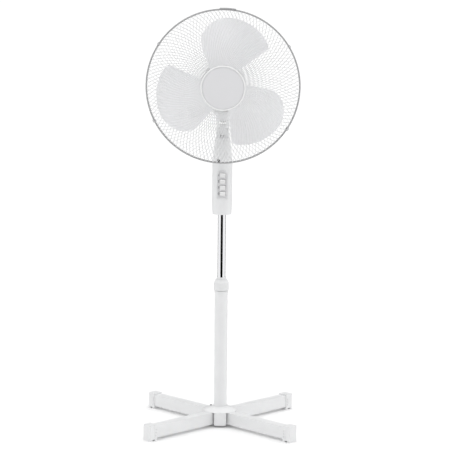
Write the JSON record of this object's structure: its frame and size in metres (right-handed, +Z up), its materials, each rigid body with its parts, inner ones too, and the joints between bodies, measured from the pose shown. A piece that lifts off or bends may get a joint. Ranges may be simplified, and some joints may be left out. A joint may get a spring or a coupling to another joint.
{
  "type": "pedestal fan",
  "caption": "Pedestal fan on a cross base, with a height-adjustable pole, push-key control box, tilting and oscillating head, wire guards and moulded blades.",
  "frame": {"origin": "on the floor, on the axis of the pole, under the crossing of the base bars", "axes": "+Z up along the pole, -Y the way the fan blows, +X to the right of someone facing the fan's front"},
  "size_m": [0.4156, 0.413, 1.1621],
  "materials": {
    "white_steel": "semi-gloss powder coat",
    "white_plastic": "gloss moulding",
    "key_plastic": "gloss moulding",
    "zinc_steel": "zinc plated",
    "black_steel": "black oxide",
    "clip_plastic": "gloss moulding",
    "chrome_steel": "polished chrome plate",
    "panel_plastic": "fine texture",
    "dark_plastic": "matte moulding",
    "capacitor_plastic": "matte moulding",
    "sintered_bronze": "oil-filled sintered",
    "nylon": "natural nylon",
    "cast_alloy": "die cast",
    "laminated_steel": "stacked sheets",
    "copper_wire": "enamelled copper",
    "cap_plastic": "satin face with a gloss rim",
    "blade_plastic": "gloss moulding"
  },
  "bodies": {
    "stand": {"lower_bar": "white_steel", "upper_bar": "white_steel", "foot_cap_1": "white_plastic", "foot_cap_2": "white_plastic", "foot_cap_3": "white_plastic", "foot_cap_4": "white_plastic", "pole_flange": "zinc_steel", "flange_screws": "zinc_steel", "base_cover": "white_plastic", "cover_screw": "zinc_steel", "outer_tube": "white_steel", "collar_bush": "white_plastic"},
    "height_nut": {"height_nut": "white_plastic"},
    "column": {"inner_tube": "chrome_steel", "glide_bush": "white_plastic", "control_front": "white_plastic", "control_rear": "white_plastic", "control_screws": "zinc_steel", "button_panel": "panel_plastic", "switch_block": "dark_plastic", "run_capacitor": "capacitor_plastic", "cord_gland": "white_plastic", "tilt_fork": "white_plastic", "tilt_bolt": "zinc_steel", "tilt_nut": "zinc_steel"},
    "key_off": {"key_off": "key_plastic"},
    "key_low": {"key_low": "key_plastic"},
    "key_medium": {"key_medium": "key_plastic"},
    "key_high": {"key_high": "key_plastic"},
    "neck": {"tilt_knuckle": "white_plastic", "swivel_bush": "sintered_bronze", "thrust_washer": "nylon"},
    "link": {"crank_link": "zinc_steel"},
    "head": {"swivel_base": "cast_alloy", "swivel_clip": "zinc_steel", "front_end_bell": "cast_alloy", "rear_end_bell": "cast_alloy", "shaft_bushes": "sintered_bronze", "stator_core": "laminated_steel", "stator_windings": "copper_wire", "motor_front_cover": "white_plastic", "motor_rear_cover": "white_plastic", "cover_screws": "zinc_steel", "gearbox_case": "nylon", "rear_guard": "white_steel", "guard_nut": "white_plastic", "front_guard": "white_steel", "guard_cap": "cap_plastic", "guard_screw": "black_steel"},
    "guard_clip_1": {"guard_clip_1": "clip_plastic"},
    "guard_clip_2": {"guard_clip_2": "clip_plastic"},
    "guard_clip_3": {"guard_clip_3": "clip_plastic"},
    "guard_clip_4": {"guard_clip_4": "clip_plastic"},
    "worm_wheel": {"worm_wheel": "nylon"},
    "clutch_knob": {"clutch_knob": "white_plastic"},
    "crank": {"crank_gear": "nylon"},
    "rotor": {"motor_shaft": "zinc_steel", "rotor_core": "laminated_steel", "fan_blade": "blade_plastic", "blade_nut": "white_plastic"}
  },
  "joints": [
    {"name": "height_slide", "type": "slide", "parent": "stand", "child": "column", "axis": [0, 0, 1], "range_m": [-0.155, 0.075]},
    {"name": "height_nut_turn", "type": "hinge", "parent": "stand", "child": "height_nut", "pos_m": [0, 0, 0.395], "axis": [0, 0, 1], "range_deg": [0, 180]},
    {"name": "key_off_press", "type": "slide", "parent": "column", "child": "key_off", "axis": [0, 1, 0], "range_m": [0, 0.004], "stiffness_N_per_m": 200},
    {"name": "key_low_press", "type": "slide", "parent": "column", "child": "key_low", "axis": [0, 1, 0], "range_m": [0, 0.004], "stiffness_N_per_m": 200},
    {"name": "key_medium_press", "type": "slide", "parent": "column", "child": "key_medium", "axis": [0, 1, 0], "range_m": [0, 0.004], "stiffness_N_per_m": 200},
    {"name": "key_high_press", "type": "slide", "parent": "column", "child": "key_high", "axis": [0, 1, 0], "range_m": [0, 0.004], "stiffness_N_per_m": 200},
    {"name": "tilt_hinge", "type": "hinge", "parent": "column", "child": "neck", "pos_m": [0, 0, 0.82], "axis": [-1, 0, 0], "range_deg": [-10, 20]},
    {"name": "head_swivel", "type": "hinge", "parent": "neck", "child": "head", "pos_m": [0, 0, 0.877], "axis": [0, 0, 1], "range_deg": [-40, 40]},
    {"name": "link_turn", "type": "hinge", "parent": "neck", "child": "link", "pos_m": [-0.02, 0, 0.879], "axis": [0, 0, 1], "range_deg": [-36, 36]},
    {"name": "blade_spin", "type": "hinge", "parent": "head", "child": "rotor", "pos_m": [0, 0, 0.952], "axis": [0, -1, 0], "continuous": true},
    {"name": "worm_wheel_turn", "type": "hinge", "parent": "head", "child": "worm_wheel", "pos_m": [0.02, 0.05, 0.952], "axis": [0, 0, 1], "continuous": true},
    {"name": "crank_turn", "type": "hinge", "parent": "head", "child": "crank", "pos_m": [0, 0.05, 0.9], "axis": [0, 0, 1], "continuous": true},
    {"name": "knob_pull", "type": "slide", "parent": "worm_wheel", "child": "clutch_knob", "axis": [0, 0, 1], "range_m": [0, 0.007]},
    {"name": "guard_clip_1_swing", "type": "hinge", "parent": "head", "child": "guard_clip_1", "pos_m": [0.17539, -0.097, 1.05948], "axis": [-0.5225, 0, 0.8526], "range_deg": [0, 90]},
    {"name": "guard_clip_2_swing", "type": "hinge", "parent": "head", "child": "guard_clip_2", "pos_m": [-0.17252, -0.097, 1.06403], "axis": [-0.5446, 0, -0.8387], "range_deg": [0, 90]},
    {"name": "guard_clip_3_swing", "type": "hinge", "parent": "head", "child": "guard_clip_3", "pos_m": [-0.18328, -0.097, 0.85861], "axis": [0.454, 0, -0.891], "range_deg": [0, 90]},
    {"name": "guard_clip_4_swing", "type": "hinge", "parent": "head", "child": "guard_clip_4", "pos_m": [0.17252, -0.097, 0.83997], "axis": [0.5446, 0, 0.8387], "range_deg": [0, 90]}
  ],
  "couplings": [
    {"joint": "link_turn", "follows": "head_swivel", "ratio": 0.862},
    {"joint": "worm_wheel_turn", "follows": "blade_spin", "ratio": -0.03125},
    {"joint": "crank_turn", "follows": "blade_spin", "ratio": 0.010417}
  ]
}
